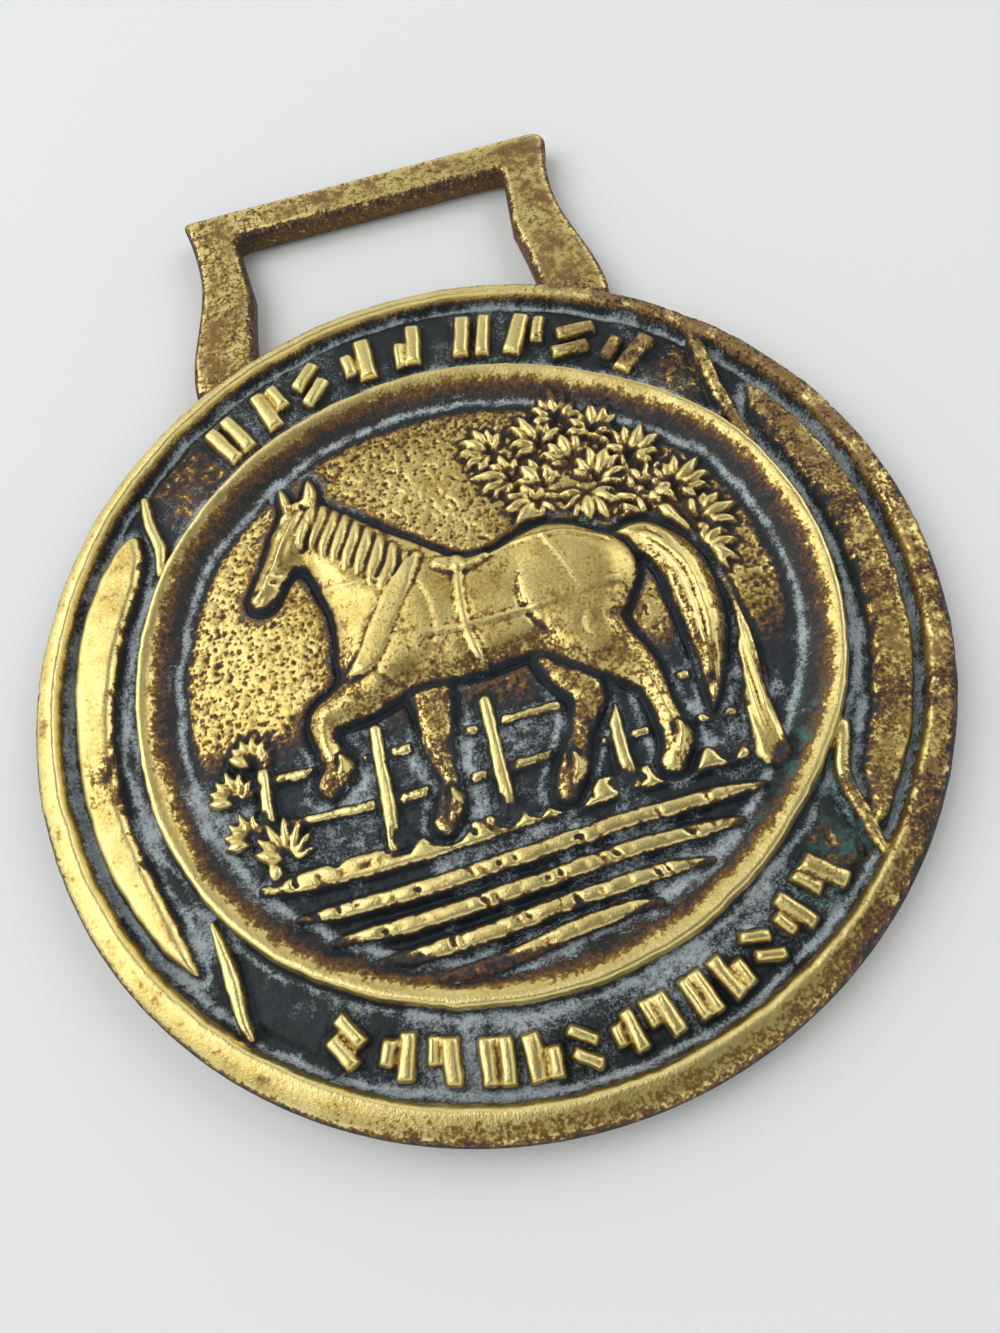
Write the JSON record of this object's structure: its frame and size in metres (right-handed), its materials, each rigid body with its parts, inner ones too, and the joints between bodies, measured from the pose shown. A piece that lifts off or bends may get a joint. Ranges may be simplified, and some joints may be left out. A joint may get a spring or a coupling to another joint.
{
  "type": "horse brass",
  "caption": "Round cast brass harness pendant with a strap loop, a raised rim and ring, side crescents and a relief of a heavy horse walking past a fence and a tree.",
  "frame": {"origin": "on the flat back, at the centre of the round plate", "axes": "+Z out of the relief face, +Y towards the strap loop, +X to the right of the face as it is looked at"},
  "size_m": [0.08, 0.0982, 0.0034],
  "materials": {
    "brass": "polished on the high relief, with dark grey and brown tarnish in the recesses"
  },
  "bodies": {
    "root": {"horse_brass": "brass"}
  },
  "joints": []
}
